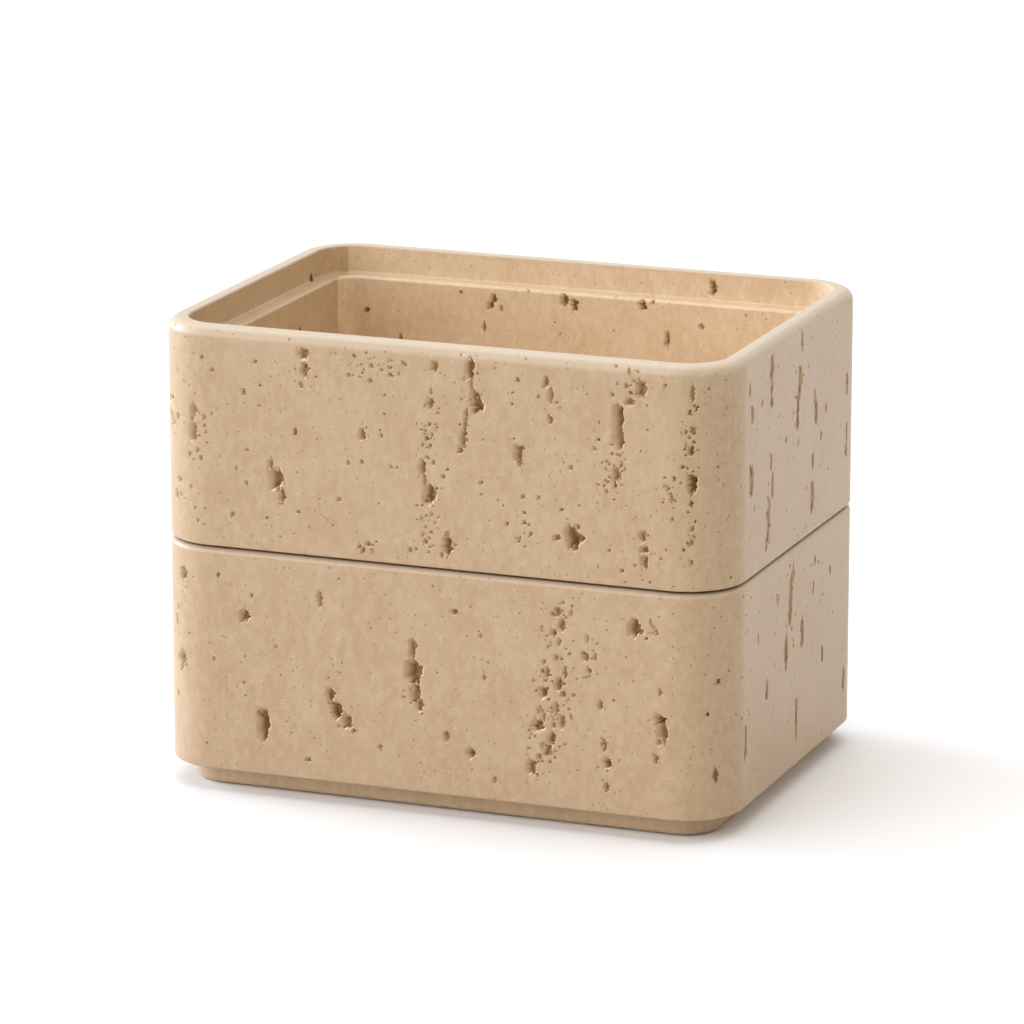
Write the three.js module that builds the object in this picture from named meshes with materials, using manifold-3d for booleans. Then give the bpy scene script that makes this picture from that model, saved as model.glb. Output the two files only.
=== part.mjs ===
// A two-tier jewellery organizer: two open trays, cast in a travertine-look stone mix, that stack.
// Each tray is a rounded box on a drawn-in foot. Its rim has a stepped recess, and the foot of the
// tray above drops into that recess. Round non-slip pads sit in pockets under each foot.
// Lengths are in millimetres, +Z is up, the front faces -Y, and the origin lies on the table under
// the middle of the stack.
import * as THREE from "three";
import { mergeVertices } from "three/addons/utils/BufferGeometryUtils.js";
import Module from "manifold-3d";

const wasm = await Module();
wasm.setup();

// Outline shared by both trays
const width = 105; // left to right
const depth = 76.5; // front to back
const cornerRadius = 10.5; // upright outer corners

// Heights
const lowerBodyHeight = 39.9; // from the top of the foot to the rim
const upperBodyHeight = 38.6;
const footHeight = 3.7;
const floorThickness = 6; // from under the foot to the inside floor
const stackGap = 0.3; // between the lower rim and the body that rests on it

// Rim, recess and walls
const rimWidth = 3.6;
const ledgeWidth = 3.2; // step between the recess and the inside wall
const footClearance = 0.4; // side room of a foot in the recess below it
const ledgeClearance = 1.1; // upright room between a nested tray's pads and the ledge

// Rounded edges
const upperRimRound = 1.9;
const lowerRimRound = 1;
const upperBaseRound = 0.4; // lower edge of the upper tray's body
const lowerBaseRound = 0.5;
const footRound = 0.8;
const mouthChamfer = 0.4; // inner edge of the rim
const ledgeChamfer = 0.5;
const recessRound = 0.4; // where the recess wall meets the ledge
const floorRound = 2; // where the inside walls meet the floor
const leastRadius = 0.5; // no upright corner gets sharper than this

// Non-slip pads
const padRadius = 4.5;
const padThickness = 1.2;
const padProud = 0.3; // how far a pad stands out below its foot
const padMargin = 2.4; // flat foot left between a pocket and the rounded edge
const padSideGap = 0.3;
const padEdgeRound = 0.2;
const adhesiveFilm = 0.15; // between a pad and the ceiling of its pocket

// Fineness of the curved faces
const arcDivisions = 4; // half the number of steps in an outline's quarter turn
const roundSteps = 4;
const padSteps = 24;
const overrun = 5; // how far a cutting tool passes the faces that it cuts
const roundLimitShare = 0.8; // most of a corner's radius that an edge round may take

// Sizes that follow from those above
const footInset = rimWidth + footClearance;
const cavityInset = rimWidth + ledgeWidth;
const recessDepth = footHeight + padProud + ledgeClearance;
const padInset = footInset + footRound + padMargin + padSideGap + padRadius;

const travertine = new THREE.MeshStandardMaterial({
  name: "travertine",
  color: "#cdb190",
  roughness: 0.55,
  metalness: 0,
});
const padRubber = new THREE.MeshStandardMaterial({
  name: "pad_rubber",
  color: "#6b655c",
  roughness: 0.8,
  metalness: 0,
});

// Turns a closed geometry into a solid that can be joined and cut.
function solidOf(geometry) {
  const bare = geometry.clone();
  bare.deleteAttribute("normal");
  bare.deleteAttribute("uv");
  const merged = mergeVertices(bare);
  return new wasm.Manifold(
    new wasm.Mesh({
      numProp: 3,
      vertProperties: merged.attributes.position.array,
      triVerts: new Uint32Array(merged.index.array),
    }),
  );
}

// Turns a solid back into a named mesh with flat-shaded faces.
function meshOf(solid, name, material) {
  const result = solid.getMesh();
  const positions = new THREE.BufferAttribute(result.vertProperties, result.numProp);
  const indexed = new THREE.BufferGeometry();
  indexed.setAttribute("position", positions);
  indexed.setIndex(new THREE.BufferAttribute(result.triVerts, 1));
  const geometry = indexed.toNonIndexed();
  geometry.computeVertexNormals();
  const mesh = new THREE.Mesh(geometry, material);
  mesh.name = name;
  return mesh;
}

// The trays' outline drawn in by inset, as a rectangle with four round corners.
function outlineAt(inset) {
  const radius = radiusAt(inset);
  const x = width / 2 - inset - radius;
  const y = depth / 2 - inset - radius;
  const quarter = Math.PI / 2;
  const outline = new THREE.Shape();
  outline.absarc(x, y, radius, 0, quarter, false);
  outline.absarc(-x, y, radius, quarter, 2 * quarter, false);
  outline.absarc(-x, -y, radius, 2 * quarter, 3 * quarter, false);
  outline.absarc(x, -y, radius, 3 * quarter, 4 * quarter, false);
  outline.closePath();
  return outline;
}

function radiusAt(inset) {
  return Math.max(cornerRadius - inset, leastRadius);
}

// A block with that outline between two heights, with both of its end edges rounded.
function block(inset, low, high, wantedRound) {
  const round = Math.min(wantedRound, radiusAt(inset) * roundLimitShare);
  const geometry = new THREE.ExtrudeGeometry(outlineAt(inset), {
    depth: high - low - 2 * round,
    steps: 1,
    curveSegments: arcDivisions,
    bevelEnabled: true,
    bevelThickness: round,
    bevelSize: round,
    bevelOffset: -round,
    bevelSegments: roundSteps,
  });
  geometry.translate(0, 0, low + round);
  return solidOf(geometry);
}

// A cutter that opens the outline at inset with a sloping edge, from top - chamfer upwards.
function chamferCutter(inset, top, chamfer) {
  const geometry = new THREE.ExtrudeGeometry(outlineAt(inset), {
    depth: overrun,
    steps: 1,
    curveSegments: arcDivisions,
    bevelEnabled: true,
    bevelThickness: chamfer,
    bevelSize: chamfer,
    bevelSegments: 1,
  });
  geometry.translate(0, 0, top);
  return solidOf(geometry);
}

// The four places of a tray's pads, named as seen from the front.
function padPlaces() {
  const x = width / 2 - padInset;
  const y = depth / 2 - padInset;
  return [
    { corner: "front_left", x: -x, y: -y },
    { corner: "front_right", x: x, y: -y },
    { corner: "back_right", x: x, y: y },
    { corner: "back_left", x: -x, y: y },
  ];
}

// A round disc standing on height low.
function disc(place, low, radius, thickness, edgeRound) {
  const circle = new THREE.Shape();
  circle.absarc(0, 0, radius, 0, 2 * Math.PI, false);
  const geometry = new THREE.ExtrudeGeometry(circle, {
    depth: thickness - 2 * edgeRound,
    steps: 1,
    curveSegments: padSteps / 2,
    bevelEnabled: edgeRound > 0,
    bevelThickness: edgeRound,
    bevelSize: edgeRound,
    bevelOffset: -edgeRound,
    bevelSegments: 2,
  });
  geometry.translate(place.x, place.y, low + edgeRound);
  return solidOf(geometry);
}

// One tray in its own frame, with the underside of its foot at height zero.
function traySolid(bodyHeight, rimRound, baseRound) {
  const bodyLow = footHeight;
  const rim = footHeight + bodyHeight;
  const ledge = rim - recessDepth;
  const topRounded = block(0, bodyLow - overrun - rimRound, rim, rimRound);
  const baseRounded = block(0, bodyLow, rim + overrun + baseRound, baseRound);
  const foot = block(footInset, 0, bodyLow + floorThickness, footRound);
  const cavity = block(cavityInset, floorThickness, rim + overrun + floorRound, floorRound);
  const recess = block(rimWidth, ledge, rim + overrun + recessRound, recessRound);
  let tray = topRounded.intersect(baseRounded).add(foot);
  tray = tray.subtract(recess).subtract(cavity);
  tray = tray.subtract(chamferCutter(rimWidth, rim, mouthChamfer));
  tray = tray.subtract(chamferCutter(cavityInset, ledge, ledgeChamfer));
  const pocketDepth = padThickness - padProud + adhesiveFilm;
  for (const place of padPlaces()) {
    const pocket = disc(place, -overrun, padRadius + padSideGap, overrun + pocketDepth, 0);
    tray = tray.subtract(pocket);
  }
  return tray;
}

// A tray with its pads, as one group that is lifted and set down together.
function trayGroup(prefix, bodyHeight, rimRound, baseRound, footLevel) {
  const group = new THREE.Group();
  group.add(meshOf(traySolid(bodyHeight, rimRound, baseRound), prefix + "_tray", travertine));
  for (const place of padPlaces()) {
    const pad = disc(place, -padProud, padRadius, padThickness, padEdgeRound);
    group.add(meshOf(pad, prefix + "_pad_" + place.corner, padRubber));
  }
  group.position.z = footLevel;
  return group;
}

const lowerFootLevel = padProud;
const upperFootLevel = padProud + lowerBodyHeight + stackGap;

const organizer = new THREE.Group();
organizer.add(trayGroup("lower", lowerBodyHeight, lowerRimRound, lowerBaseRound, lowerFootLevel));
organizer.add(trayGroup("upper", upperBodyHeight, upperRimRound, upperBaseRound, upperFootLevel));

export default organizer;
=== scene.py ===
import random
from math import acos, atan2, copysign, cos, hypot, pi, radians, sin, sqrt

import bmesh
import bpy
from mathutils import Matrix, Vector, noise
from mathutils.bvhtree import BVHTree


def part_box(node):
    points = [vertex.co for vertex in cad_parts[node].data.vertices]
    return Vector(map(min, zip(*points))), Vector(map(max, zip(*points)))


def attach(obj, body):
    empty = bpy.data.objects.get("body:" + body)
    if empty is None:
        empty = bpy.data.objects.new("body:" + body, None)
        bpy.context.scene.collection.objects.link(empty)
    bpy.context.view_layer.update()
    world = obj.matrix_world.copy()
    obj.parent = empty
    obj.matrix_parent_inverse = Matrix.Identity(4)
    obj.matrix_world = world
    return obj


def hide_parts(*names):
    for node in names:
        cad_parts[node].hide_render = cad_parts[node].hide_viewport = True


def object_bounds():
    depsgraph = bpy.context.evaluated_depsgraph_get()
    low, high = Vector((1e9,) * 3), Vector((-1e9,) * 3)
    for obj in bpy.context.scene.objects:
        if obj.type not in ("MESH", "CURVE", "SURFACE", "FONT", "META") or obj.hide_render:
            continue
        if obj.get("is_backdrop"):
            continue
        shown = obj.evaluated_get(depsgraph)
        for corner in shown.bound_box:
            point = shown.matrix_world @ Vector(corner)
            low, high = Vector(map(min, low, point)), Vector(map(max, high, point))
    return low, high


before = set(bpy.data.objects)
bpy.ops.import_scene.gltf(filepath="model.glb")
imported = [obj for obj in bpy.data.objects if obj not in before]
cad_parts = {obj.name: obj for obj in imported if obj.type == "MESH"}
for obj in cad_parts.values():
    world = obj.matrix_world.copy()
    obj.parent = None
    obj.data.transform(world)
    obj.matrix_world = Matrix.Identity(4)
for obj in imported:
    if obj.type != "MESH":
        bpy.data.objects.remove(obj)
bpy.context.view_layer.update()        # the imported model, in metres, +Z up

mm = 0.001
boxes = {node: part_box(node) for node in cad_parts}
trayLow, trayHigh = boxes["lower_tray"]

# What both trays share, as in the CAD
outline = {
    "width": trayHigh.x - trayLow.x,
    "depth": trayHigh.y - trayLow.y,
    "cornerRadius": 10.5 * mm,
    "cornerSegments": 28,
    "rimSegments": 8,
    "baseSegments": 5,
    "near": 0.02 * mm,        # within this, a point counts as lying at a height or an inset
}
inside = {
    "rimWidth": 3.6 * mm,
    "ledgeWidth": 3.2 * mm,
    "recessDepth": 5.1 * mm,
    "mouthRound": 0.4 * mm,   # inner edge of the rim
    "ledgeRound": 0.5 * mm,
    "recessRound": 0.4 * mm,
    "floorThickness": 6 * mm,
    "floorRound": 2 * mm,
    "smallSegments": 4,
    "floorSegments": 7,
}
foot = {
    "height": 3.7 * mm,
    "inset": 4 * mm,
    "edgeRound": 0.8 * mm,
    "edgeSegments": 8,
}
lowerTray = {
    "node": "lower_tray",
    "body": "lower_tier",
    "rimRound": 1.0 * mm,
    "rimDrop": 0.15 * mm,     # so that the joint opens a little more
    "baseRound": 0.5 * mm,
    "shadedBase": False,
}
upperTray = {
    "node": "upper_tray",
    "body": "upper_tier",
    "rimRound": 1.9 * mm,
    "rimDrop": 0,
    "baseRound": 0.4 * mm,
    "shadedBase": True,          # the face over the joint gets painted shade, from the deepest pit colour
}

corners = ["front_left", "front_right", "back_right", "back_left"]


# Camera

photoView = {
    "size": 1024,                     # the photo's frame, in pixels
    "azimuth": radians(21.155),
    "elevation": radians(14.599),
    "distance": 1.0081,
    "target": (0, 0, 41.4 * mm),
    "lens": 201.3,
    "sensor": 36,
    "shift": (-0.00234, 0.0186),
}


def addCamera(view):
    data = bpy.data.cameras.new("photoCamera")
    data.lens = view["lens"]
    data.sensor_width = view["sensor"]
    data.shift_x, data.shift_y = view["shift"]
    camera = bpy.data.objects.new("photoCamera", data)
    level = cos(view["elevation"])
    back = Vector((sin(view["azimuth"]) * level, -cos(view["azimuth"]) * level, sin(view["elevation"])))
    camera.location = Vector(view["target"]) + back * view["distance"]
    camera.rotation_euler = back.to_track_quat("Z", "Y").to_euler()
    bpy.context.scene.collection.objects.link(camera)
    bpy.context.scene.camera = camera
    bpy.context.view_layer.update()
    return camera


# The ray from the camera through a pixel of the photo
def pixelRay(camera, x, y):
    reach = photoView["sensor"] / photoView["lens"]
    shiftX, shiftY = photoView["shift"]
    across = (x / photoView["size"] - 0.5 + shiftX) * reach
    up = (0.5 - y / photoView["size"] + shiftY) * reach
    turn = camera.matrix_world.to_quaternion()
    return camera.matrix_world.translation, (turn @ Vector((across, up, -1))).normalized()


camera = addCamera(photoView)
print("scene: camera placed")


# Tray blanks, before they get their pits

# How far a point lies inside the trays' outline
def insetOf(point):
    radius = outline["cornerRadius"]
    pastX = abs(point.x) - (outline["width"] / 2 - radius)
    pastY = abs(point.y) - (outline["depth"] / 2 - radius)
    if pastX > 0 and pastY > 0:
        return radius - hypot(pastX, pastY)
    return radius - max(pastX, pastY)


# The edges of the ring at a height and an inset
def loopEdges(bm, height, inset):
    near = outline["near"]
    found = []
    for edge in bm.edges:
        if all(abs(v.co.z - height) < near and abs(insetOf(v.co) - inset) < near for v in edge.verts):
            found.append(edge)
    return found


def roundEdges(bm, edges, radius, segments):
    bmesh.ops.bevel(bm, geom=edges, offset=radius, offset_type="OFFSET", affect="EDGES",
                    segments=segments, profile=0.5, material=-1, clamp_overlap=False)


# Steps a flat face in by thickness, then sinks it (or raises it) by drop
def stepFace(bm, face, thickness, drop):
    if thickness:
        bmesh.ops.inset_region(bm, faces=[face], thickness=thickness, use_even_offset=True)
    if drop:
        bmesh.ops.inset_region(bm, faces=[face], thickness=0, depth=drop)


def trayBlank(tray):
    low, high = boxes[tray["node"]]
    bodyLow = low.z + foot["height"]
    rim = high.z - tray["rimDrop"]
    ledge = high.z - inside["recessDepth"]
    floorLevel = low.z + inside["floorThickness"]
    cavityInset = inside["rimWidth"] + inside["ledgeWidth"]
    bm = bmesh.new()
    bmesh.ops.create_cube(bm, size=1)
    bmesh.ops.scale(bm, vec=(outline["width"], outline["depth"], rim - bodyLow), verts=bm.verts)
    bmesh.ops.translate(bm, vec=(0, 0, (bodyLow + rim) / 2), verts=bm.verts)
    uprights = [e for e in bm.edges if e.verts[0].co.xy == e.verts[1].co.xy]
    roundEdges(bm, uprights, outline["cornerRadius"], outline["cornerSegments"])
    top = max(bm.faces, key=lambda face: face.calc_center_median().z)
    base = min(bm.faces, key=lambda face: face.calc_center_median().z)
    stepFace(bm, top, inside["rimWidth"], ledge - rim)
    stepFace(bm, top, inside["ledgeWidth"], floorLevel - ledge)
    stepFace(bm, base, foot["inset"], foot["height"])
    small = inside["smallSegments"]
    roundEdges(bm, loopEdges(bm, rim, 0), tray["rimRound"], outline["rimSegments"])
    roundEdges(bm, loopEdges(bm, rim, inside["rimWidth"]), inside["mouthRound"], small)
    roundEdges(bm, loopEdges(bm, ledge, inside["rimWidth"]), inside["recessRound"], small)
    roundEdges(bm, loopEdges(bm, ledge, cavityInset), inside["ledgeRound"], small)
    roundEdges(bm, loopEdges(bm, floorLevel, cavityInset), inside["floorRound"], inside["floorSegments"])
    roundEdges(bm, loopEdges(bm, bodyLow, 0), tray["baseRound"], outline["baseSegments"])
    roundEdges(bm, loopEdges(bm, low.z, foot["inset"]), foot["edgeRound"], foot["edgeSegments"])
    bmesh.ops.recalc_face_normals(bm, faces=bm.faces)
    return bm


blanks = {tray["node"]: trayBlank(tray) for tray in (lowerTray, upperTray)}
surfaces = {node: BVHTree.FromBMesh(bm) for node, bm in blanks.items()}
print("scene: tray blanks made")


# Pits

# Pits seen on the front and the corners: x, y, width and height in the photo's pixels
frontPitPixels = [
    (301, 354, 15, 10), (302, 370, 12, 12), (299, 385, 8, 7), (212, 370, 5, 5), (255, 362, 5, 5),
    (260, 385, 4, 5), (242, 392, 6, 6), (259, 406, 4, 4), (192, 410, 9, 13), (191, 432, 10, 18),
    (204, 417, 6, 6), (204, 426, 4, 4), (212, 414, 3, 3), (197, 450, 6, 6), (200, 458, 6, 5),
    (189, 454, 5, 5), (294, 432, 7, 8), (269, 464, 8, 9), (276, 479, 15, 17), (280, 497, 11, 15),
    (247, 450, 4, 4), (236, 468, 5, 4), (245, 483, 6, 5), (232, 514, 6, 5), (267, 518, 4, 4),
    (298, 512, 6, 4), (362, 435, 10, 9), (381, 436, 5, 4), (348, 463, 5, 5), (362, 462, 5, 4),
    (391, 467, 5, 4), (397, 468, 3, 3), (339, 500, 5, 5), (384, 414, 3, 5), (385, 395, 4, 3),
    (366, 428, 3, 3), (366, 353, 4, 4), (361, 365, 4, 3), (371, 365, 4, 4), (357, 366, 3, 3),
    (348, 375, 7, 5), (370, 381, 8, 4), (362, 373, 3, 3), (355, 357, 3, 3), (390, 368, 5, 5),
    (390, 375, 5, 5), (399, 373, 3, 3), (366, 544, 8, 5), (363, 550, 6, 5), (371, 552, 5, 6),
    (376, 542, 3, 3), (409, 550, 6, 5), (416, 549, 4, 4), (181, 494, 3, 3), (195, 508, 4, 4),
    (205, 509, 3, 3), (198, 520, 4, 4), (191, 486, 4, 4), (202, 357, 4, 4),
    (433, 366, 10, 10), (468, 370, 12, 18), (469, 384, 8, 12), (471, 396, 10, 12), (474, 405, 15, 14),
    (465, 414, 8, 12), (464, 426, 7, 10), (463, 440, 10, 16), (460, 451, 8, 5), (430, 391, 6, 7),
    (428, 404, 11, 10), (437, 413, 3, 3), (429, 425, 5, 4), (437, 428, 4, 4), (425, 431, 4, 4),
    (432, 435, 4, 3), (427, 439, 5, 5), (430, 446, 4, 5), (422, 468, 9, 14), (423, 480, 8, 8),
    (433, 463, 5, 5), (447, 470, 5, 4), (443, 477, 5, 5), (427, 494, 18, 15), (442, 489, 3, 3),
    (431, 515, 6, 5), (421, 518, 5, 6), (426, 527, 4, 3), (422, 535, 6, 6), (425, 541, 4, 4),
    (447, 534, 6, 5), (447, 546, 14, 14), (441, 556, 6, 6), (517, 380, 6, 5), (513, 393, 4, 4),
    (512, 404, 4, 4), (545, 382, 8, 10), (549, 396, 8, 13), (539, 396, 3, 3), (549, 420, 8, 7),
    (560, 408, 4, 3), (514, 439, 4, 3), (518, 454, 14, 16), (570, 468, 7, 6), (481, 483, 4, 5),
    (481, 495, 4, 4), (498, 500, 2, 5), (503, 506, 3, 3), (522, 497, 8, 4), (538, 498, 4, 4),
    (524, 513, 5, 5), (524, 523, 5, 5), (529, 534, 8, 4), (507, 524, 4, 5), (525, 547, 4, 3),
    (561, 510, 5, 4), (572, 539, 20, 21), (557, 538, 9, 5), (577, 527, 6, 5), (616, 366, 3, 4),
    (628, 371, 6, 7), (626, 386, 5, 6), (611, 395, 8, 4), (640, 389, 13, 12), (628, 402, 13, 6),
    (647, 406, 4, 4), (665, 386, 4, 5), (615, 418, 17, 22), (617, 438, 15, 18), (598, 440, 5, 4),
    (594, 449, 6, 5), (612, 454, 4, 4), (620, 464, 6, 6), (609, 464, 4, 4), (614, 466, 4, 3),
    (615, 476, 11, 10), (598, 485, 5, 4), (605, 491, 6, 5), (614, 486, 7, 5), (602, 463, 4, 3),
    (665, 478, 4, 4), (674, 479, 5, 6), (668, 489, 5, 5), (670, 499, 7, 7), (626, 506, 3, 3),
    (642, 537, 12, 7), (642, 550, 13, 7), (643, 564, 9, 12), (635, 566, 5, 4), (622, 571, 5, 5),
    (609, 551, 4, 5), (666, 550, 4, 4), (661, 559, 4, 3), (692, 394, 8, 12), (690, 413, 7, 7),
    (693, 430, 8, 6), (684, 432, 6, 5), (688, 452, 11, 10), (690, 485, 14, 18), (690, 504, 8, 6),
    (691, 529, 7, 6), (690, 543, 8, 6), (690, 563, 7, 6), (672, 520, 5, 5), (682, 468, 5, 5),
    (243, 616, 14, 9), (319, 600, 8, 11), (410, 650, 13, 22), (412, 672, 17, 20), (413, 693, 14, 15),
    (420, 706, 9, 10), (329, 696, 12, 14), (335, 710, 14, 14), (345, 722, 14, 12), (353, 731, 7, 6),
    (260, 725, 17, 26), (480, 636, 6, 5), (484, 678, 6, 5), (445, 737, 9, 8), (468, 753, 12, 9),
    (494, 780, 8, 6), (379, 747, 7, 6), (308, 760, 5, 5), (182, 574, 8, 13), (218, 575, 5, 5),
    (251, 596, 5, 4), (275, 647, 6, 5), (454, 612, 11, 5), (214, 659, 4, 4), (244, 683, 4, 4),
    (558, 612, 9, 8), (570, 613, 6, 6), (563, 603, 4, 4), (572, 606, 4, 3), (551, 633, 10, 7),
    (560, 626, 12, 8), (557, 642, 8, 7), (542, 662, 8, 5), (554, 658, 7, 7), (594, 656, 5, 6),
    (585, 639, 7, 8), (583, 657, 11, 9), (588, 671, 8, 6), (546, 673, 11, 9), (564, 673, 6, 10),
    (542, 692, 12, 9), (556, 685, 11, 9), (562, 694, 8, 7), (537, 711, 5, 6), (543, 717, 7, 7),
    (556, 709, 7, 11), (560, 721, 11, 12), (570, 717, 6, 6), (537, 726, 14, 8), (553, 725, 7, 6),
    (552, 739, 9, 10), (541, 746, 6, 6), (547, 750, 12, 10), (539, 757, 8, 6), (529, 767, 12, 12),
    (536, 775, 6, 5), (634, 629, 16, 14), (650, 623, 4, 4), (656, 631, 6, 3), (646, 639, 4, 4),
    (599, 706, 7, 10), (603, 746, 9, 9), (605, 763, 12, 8), (605, 787, 9, 8), (659, 693, 7, 7),
    (659, 720, 16, 10), (661, 731, 13, 18), (658, 743, 8, 6), (655, 759, 9, 8), (714, 776, 9, 12),
    (717, 682, 6, 5), (708, 715, 5, 5), (614, 701, 4, 4), (577, 679, 3, 3), (581, 687, 2, 3),
]
# The long narrow pits on the right side
sidePitPixels = [
    (772, 368, 5, 16), (771, 387, 5, 12), (772, 402, 4, 8), (802, 342, 3, 16), (800, 379, 6, 20),
    (799, 396, 4, 14), (798, 414, 4, 26), (798, 443, 2, 8), (815, 396, 3, 10), (816, 412, 5, 20),
    (821, 436, 3, 6), (750, 391, 3, 12), (752, 417, 5, 16), (847, 384, 3, 18), (846, 440, 3, 30),
    (813, 460, 4, 12), (812, 496, 5, 26), (771, 462, 3, 14), (772, 484, 4, 20), (769, 506, 4, 12),
    (768, 526, 6, 26), (766, 545, 3, 14), (751, 482, 7, 28), (754, 509, 2, 6), (727, 408, 3, 3),
    (723, 485, 4, 4), (717, 455, 3, 3), (786, 440, 3, 5), (762, 404, 3, 6), (826, 408, 3, 8),
    (793, 574, 4, 14), (791, 590, 6, 22), (790, 612, 5, 24), (786, 654, 6, 24), (802, 632, 5, 26),
    (745, 744, 5, 28), (796, 719, 4, 38), (843, 679, 4, 20), (815, 561, 3, 8), (813, 588, 3, 10),
    (830, 570, 3, 8), (758, 640, 3, 8), (767, 690, 4, 16), (822, 655, 3, 12), (778, 600, 3, 8),
]
# Pits inside, on the upper tray's back wall
innerPitPixels = [
    (487, 305, 12, 8), (494, 299, 8, 6), (501, 309, 6, 6), (563, 300, 11, 9), (573, 305, 10, 10),
    (641, 306, 14, 9), (651, 302, 6, 6), (616, 296, 4, 4), (700, 327, 8, 6), (528, 291, 4, 4),
]
# Drifts of fine pores between and beside the pits: x, y, width, height and how many
porePixels = [
    (429, 430, 18, 60, 19), (428, 505, 26, 95, 32), (365, 366, 34, 34, 12), (396, 366, 20, 26, 9),
    (612, 470, 32, 60, 24), (628, 382, 30, 30, 10), (690, 445, 20, 120, 29), (672, 492, 22, 40, 12),
    (690, 540, 14, 60, 10), (550, 620, 40, 44, 22), (555, 680, 46, 80, 46), (545, 740, 42, 70, 43),
    (590, 660, 24, 50, 12), (655, 630, 16, 24, 6), (198, 440, 20, 60, 10), (645, 552, 24, 44, 7),
    (522, 520, 18, 54, 9), (470, 410, 26, 90, 9), (415, 680, 26, 70, 9), (604, 766, 18, 60, 9),
    (366, 547, 22, 18, 6), (548, 398, 20, 40, 6), (340, 712, 40, 44, 6), (797, 400, 12, 110, 13),
    (768, 500, 12, 110, 10), (790, 610, 12, 90, 12), (818, 580, 20, 60, 9), (300, 366, 16, 40, 6),
]

pitLook = {
    "seed": 7,
    "deepest": 1.8 * mm,
    "poreLimit": 1.0 * mm,       # a pit narrower than this is one cell
    "smallLimit": 1.5 * mm,      # and one narrower than this has a plainer form
    "dotLimit": 0.2 * mm,        # a cell with a smaller radius has the plainest
    "roughness": 0.54,           # how far a mouth wanders from round, as a share of the cell
    "wander": [(0.6, 1.1), (1, 3.1), (0.8, 6.7)],    # in waves, each with its strength and fineness
    "wanderMost": 1.1,           # how strong they get where they add up
    "wallRoughness": 0.14,       # how far the wall wanders, as a share of the cell
    "wallFineness": 2.2,
    "lip": 0.38 * mm,            # width of the rounded edge on the crisp side
    "lipShare": 0.4,             # which takes up no more than this much of the cell's radius
    "lipDrop": 0.55,             # its depth per width
    "softSide": radians(160),    # the side, seen square on, where the surface slopes gently into a pit
    "softTurn": 0.35,            # how far a single cell turns from that side
    "sinkLimit": 0.8,            # the soft side takes up no more than this much of the depth
    "lean": (0.3, 0.7),          # how far a cell runs under its crisp side, per depth
    "above": 0.12 * mm,          # how far a cutter stands out of the surface
    "flare": 1.04,               # and how much it widens there
    "followLimit": 0.4 * mm,     # wider cells follow the bend of the surface, and by no more than this
}
# How each kind of cell is cut. Depth is a share of its half width; slope and sink are the width and
# depth of the soft side, as shares too. The rings go from the bottom up: the wall's depth below the
# lip and its width, then the lip's depth and width down to the wall.
hollowForm = {
    "around": 26,
    "slope": (0.8, 1.3),
    "sink": (0.55, 0.8),
    "wallShares": [(1.0, 0.0), (0.92, 0.5), (0.65, 0.85)],
    "lipShares": [(1.0, 0.0), (0.62, 0.33), (0.25, 0.68), (0.0, 1.0)],
}
lobeForm = {
    "around": 12,
    "slope": (0.6, 1.0),
    "sink": (0.45, 0.65),
    "wallShares": [(1.0, 0.0), (0.8, 0.7)],
    "lipShares": [(1.0, 0.0), (0.35, 0.5), (0.0, 1.0)],
}
poreForm = {
    "around": 7,
    "slope": (0.5, 0.9),
    "sink": (0.4, 0.6),
    "wallShares": [(1.0, 0.0), (0.8, 0.7)],
    "lipShares": [(1.0, 0.0), (0.0, 1.0)],
}
dotForm = {
    "around": 6,
    "slope": (0.3, 0.5),
    "sink": (0.3, 0.4),
    "wallShares": [(1.0, 0.0)],
    "lipShares": [(1.0, 0.0), (0.0, 1.0)],
}
frontCut = {"depth": (1.4, 2.1), "width": 1, "height": 1}
# Shallow, for what faces right by more than facing
sideCut = {"depth": (0.5, 0.8), "width": 0.9, "height": 1.06, "facing": 0.9}
# The wells, lobes and pores that make up a hollow, sized as shares of its width and height
hollowLook = {
    "wellHeight": 1.7,           # of a well, per width of the hollow
    "wellWidth": (0.48, 0.7),
    "wellTall": (0.95, 1.2),
    "crispEdge": 0.92,           # where the wells' crisp edges line up
    "wellShift": (-0.16, 0.1),
    "lobeEvery": 1.8 * mm,       # one more lobe for each such stretch of width
    "lobeTurn": 1.7,             # radians to either side of the crisp edge
    "lobeSize": (0.13, 0.22),
    "lobeOut": (0.6, 0.9),
    "lobeUp": (0.7, 1.0),
    "lobeTall": (0.7, 1.3),
    "lobeDepth": 1.3,            # against the wells
    "frays": 2,                  # and one more for each well
    "frayTurn": 2.3,
    "fraySize": (0.07, 0.14),
    "frayOut": (0.85, 1.25),
    "frayUp": (0.85, 1.2),
}
poreLook = {
    "radius": (0.13 * mm, 0.32 * mm),
    "share": 0.85,               # of a small pit's half width
    "deeper": (0.9, 1.5),
    "tall": (0.9, 1.25),
}
dotLook = {
    "searchFrom": mm,            # how far off a tray the search for its surface starts
    "radius": (0.09 * mm, 0.22 * mm),
    "upShare": (0.1, 1),
    "wallsPerTray": 740,
    "insidePerTray": 160,
    "topPerTray": 130,
    "underPerTray": 60,
}
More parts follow.
